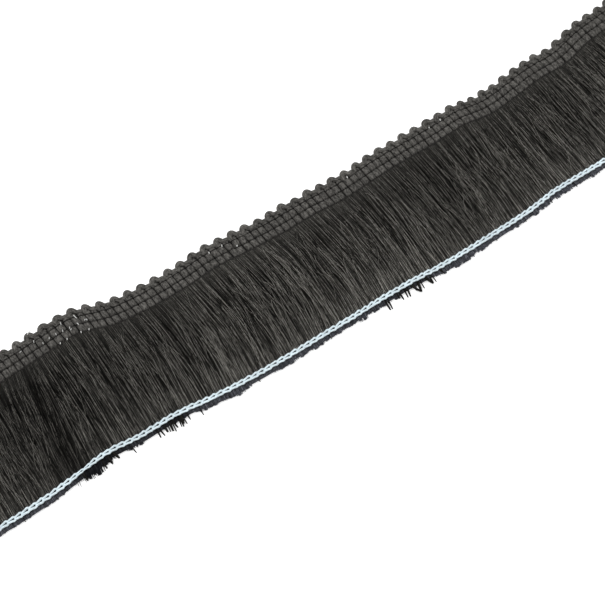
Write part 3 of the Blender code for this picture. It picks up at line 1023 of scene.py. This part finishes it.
def clear_thread_glints():
    """The arcs of clear thread that show between the picks and over one loop, painted pale as
    glints.
    """
    along, width, size = (GLINTS[key][:, None] * MM for key in ("along", "width", "size"))
    turn = np.radians(GLINTS["turn"])[:, None]
    share = np.linspace(-1.0, 1.0, 7)
    long_arc = np.where(size > 1.0 * MM, 0.42 * MM, 0.0)
    x = along - lay("slip", along) * MM + size * share * np.cos(turn)
    w = width - size * share * np.sin(turn) + long_arc * share**2
    z = 1.72 * MM + 0.12 * MM * (1 - share**2) + 0 * size
    centres = on_heading(np.stack([x, w, z], axis=-1))
    tones = np.linspace(0.3, 1.0, len(along))
    mesh = tubes("clear_thread_glints", centres, CLEAR_RADIUS, 6, tones)
    return as_piece(mesh, clear_glint_material())


def chain_stitch():
    """The chain of thread loops, each one drawn through the loop before it."""
    rng = np.random.default_rng(CHAIN_SEED)
    radius = bpy.context.scene.trim_sizes.chain_radius
    half = np.stack([LINK[key] for key in LINK], axis=1) * MM
    back = half[1:-1][::-1] * (1, -1, 1)
    route = np.concatenate([half, back])
    thick = np.full(len(route), radius)
    unit = yarn_unit("chain_link", route, thick, True, 8)
    fibre = fibre_coordinates(unit[0], np.concatenate([route, route[:1]]))
    placed = np.repeat(unit[0][None], CHAIN_LINKS, axis=0)
    grown = rng.uniform(0.96, 1.05, (CHAIN_LINKS, 1, 3))
    placed = placed * grown
    turn = rng.normal(0.05, 0.05, (CHAIN_LINKS, 1))
    placed[:, :, 1] += turn * placed[:, :, 0]
    places = -LENGTH / 2 + (np.arange(CHAIN_LINKS)[:, None] + 0.5) * LINK_PITCH
    placed[:, :, 0] += places + rng.normal(0.0, 0.06 * MM, (CHAIN_LINKS, 1))
    placed[:, :, 1] += rng.normal(0.0, 0.05 * MM, (CHAIN_LINKS, 1))
    placed[:, :, 2] += CHAIN_HEIGHT
    tones = rng.uniform(0.84, 1.04, CHAIN_LINKS)
    mesh = copies("chain_loops", unit, on_chain(placed), fibre, tones)
    return as_piece(mesh, chain_material())


def needle_thread():
    """The straight stitches of the chain's thread on the back of the skirt."""
    stations = np.linspace(-0.42, 0.42, 7)
    link = -LENGTH / 2 + (np.arange(CHAIN_LINKS) + 0.5) * LINK_PITCH
    along = link[:, None] + stations * LINK_PITCH
    height = (0.16 + 0.5 * (2 * stations) ** 6) * MM + 0 * along
    centres = on_chain(np.stack([along, 0 * along, height], axis=-1))
    tones = np.linspace(0.2, 0.8, CHAIN_LINKS)
    mesh = tubes("needle_thread", centres, NEEDLE_RADIUS, 6, tones)
    return as_piece(mesh, chain_material())


# Camera and light, worked out for the photograph's square frame
CAMERA_LENS = 65.0
CAMERA_DISTANCE = 0.4023
CAMERA_ELEVATION = math.radians(70)
CAMERA_AZIMUTH = math.radians(32.18)
CAMERA_TARGET = (-22.96 * MM, 0.0)
SENSOR_WIDTH = 36.0
LAMPS = (("key", (-0.5, 0.75, 1.1), 0.7, 12.0), ("fill", (0.8, -0.6, 1.0), 1.2, 5.0))
SKY_STRENGTH = 0.55
FLOOR_SIZE = 40.0
FLOOR_DROP = 0.2 * MM
FLOOR_GLOW = 0.45


def camera():
    """The camera above the strip, which crosses the picture from lower left to upper right."""
    made = bpy.data.objects.new("camera", bpy.data.cameras.new("camera"))
    made.data.lens = CAMERA_LENS
    made.data.sensor_width = SENSOR_WIDTH
    made.data.clip_start = 0.01
    target = Vector((*CAMERA_TARGET, 0.0)) - Vector(SHIFT)
    level = CAMERA_DISTANCE * math.cos(CAMERA_ELEVATION)
    away = Vector((math.sin(CAMERA_AZIMUTH), math.cos(CAMERA_AZIMUTH), 0.0))
    up = Vector((0.0, 0.0, CAMERA_DISTANCE * math.sin(CAMERA_ELEVATION)))
    made.location = target - away * level + up
    aim(made, target)
    bpy.context.scene.camera = made


def aim(thing, target):
    """Turn a lamp or a camera towards a point and put it in the scene."""
    thing.rotation_euler = (target - thing.location).to_track_quat("-Z", "Y").to_euler()
    bpy.context.scene.collection.objects.link(thing)


def area_light(name, place, size, power):
    """A soft lamp aimed at the middle of the strip."""
    data = bpy.data.lights.new(name, "AREA")
    data.shape = "DISK"
    data.size = size
    data.energy = power
    lamp = bpy.data.objects.new(name, data)
    lamp.location = place
    aim(lamp, Vector())


def floor_material():
    """A plain pale floor with a faint grain."""
    made = bpy.data.materials.new("Floor")
    made.use_nodes = True
    tree = made.node_tree
    shader = tree.nodes["Principled BSDF"]
    shader.inputs["Roughness"].default_value = 0.9
    shader.inputs["Specular IOR Level"].default_value = 0.0
    shader.inputs["Emission Color"].default_value = (1.0, 1.0, 1.0, 1.0)
    shader.inputs["Emission Strength"].default_value = FLOOR_GLOW
    place = add_node(tree, "ShaderNodeTexCoord")
    grain = add_node(tree, "ShaderNodeTexNoise", {"Scale": 60.0})
    base = bpy.context.scene.trim_colours.floor
    ends = {6: (*shaded(base, 0.985), 1.0), 7: (*base, 1.0)}
    colour = add_node(tree, "ShaderNodeMix", ends, data_type="RGBA")
    join(
        tree,
        (place, "Object", grain, "Vector"), (grain, "Fac", colour, "Factor"),
        (colour, 2, shader, "Base Color"),
    )
    return made


def stage():
    """Floor, soft light and camera."""
    deselect()
    bpy.ops.mesh.primitive_plane_add(size=FLOOR_SIZE, location=(0.0, 0.0, -FLOOR_DROP))
    floor = bpy.context.object
    floor.name = "floor"
    floor.data.materials.append(floor_material())
    world = bpy.data.worlds.new("studio")
    world.use_nodes = True
    sky = world.node_tree.nodes["Background"]
    sky.inputs["Color"].default_value = (1.0, 1.0, 1.0, 1.0)
    sky.inputs["Strength"].default_value = SKY_STRENGTH
    bpy.context.scene.world = world
    for lamp in LAMPS:
        area_light(*lamp)
    camera()
    bpy.context.scene.view_settings.view_transform = "Standard"


class TRIM_OT_heading(bpy.types.Operator):
    """Model the woven heading: ground cloth, picks, warp threads and edge loops"""

    bl_idname = "trim.heading"
    bl_label = "Heading"

    def execute(self, context):
        cloth = heading_cloth()
        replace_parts(cloth, "heading")
        heading_picks()
        warp_threads()
        edge_loops()
        clear_thread_glints()
        return {"FINISHED"}


class TRIM_OT_skirt(bpy.types.Operator):
    """Model the skirt of fine strands in layers, with its stray hairs"""

    bl_idname = "trim.skirt"
    bl_label = "Skirt"

    def execute(self, context):
        pieces = skirt()
        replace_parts(pieces[0], "fringe")
        stray_hairs()
        cut_hairs()
        return {"FINISHED"}


class TRIM_OT_chain(bpy.types.Operator):
    """Model the chain stitch and the straight stitches on its back"""

    bl_idname = "trim.chain"
    bl_label = "Chain stitch"

    def execute(self, context):
        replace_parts(chain_stitch(), "chain_stitch")
        needle_thread()
        return {"FINISHED"}


class TRIM_OT_stage(bpy.types.Operator):
    """Set the floor, the light and the camera"""

    bl_idname = "trim.stage"
    bl_label = "Stage"

    def execute(self, context):
        stage()
        return {"FINISHED"}


class TRIM_PT_panel(bpy.types.Panel):
    """Sizes, colours and steps of the trim"""

    bl_label = "Brush fringe trim"
    bl_idname = "TRIM_PT_panel"
    bl_space_type = "VIEW_3D"
    bl_region_type = "UI"
    bl_category = "Trim"

    def draw(self, context):
        for group in (context.scene.trim_sizes, context.scene.trim_colours):
            box = self.layout.box()
            for key in group.bl_rna.properties.keys():
                if key not in ("rna_type", "name"):
                    box.prop(group, key)
        for step in STEPS:
            self.layout.operator(step.bl_idname)


STEPS = (TRIM_OT_heading, TRIM_OT_skirt, TRIM_OT_chain, TRIM_OT_stage)
CLASSES = (TrimSizes, TrimColours, *STEPS, TRIM_PT_panel)


def register():
    for each in CLASSES:
        bpy.utils.register_class(each)
    bpy.types.Scene.trim_sizes = bpy.props.PointerProperty(type=TrimSizes)
    bpy.types.Scene.trim_colours = bpy.props.PointerProperty(type=TrimColours)


def unregister():
    del bpy.types.Scene.trim_colours
    del bpy.types.Scene.trim_sizes
    for each in reversed(CLASSES):
        bpy.utils.unregister_class(each)


def declare_cloth():
    """Gather the names of the pieces sewn to the heading or woven into it; nothing is done with
    them.
    """
    along = ["heading_picks", "warp_threads", "edge_loops", "clear_thread_glints", *LAYERS]
    along += ["stray_hairs", "cut_hairs", "chain_loops", "needle_thread"]


def main():
    register()
    bpy.ops.trim.heading()
    bpy.ops.trim.skirt()
    bpy.ops.trim.chain()
    bpy.ops.trim.stage()
    declare_cloth()


if __name__ == "__main__":
    main()
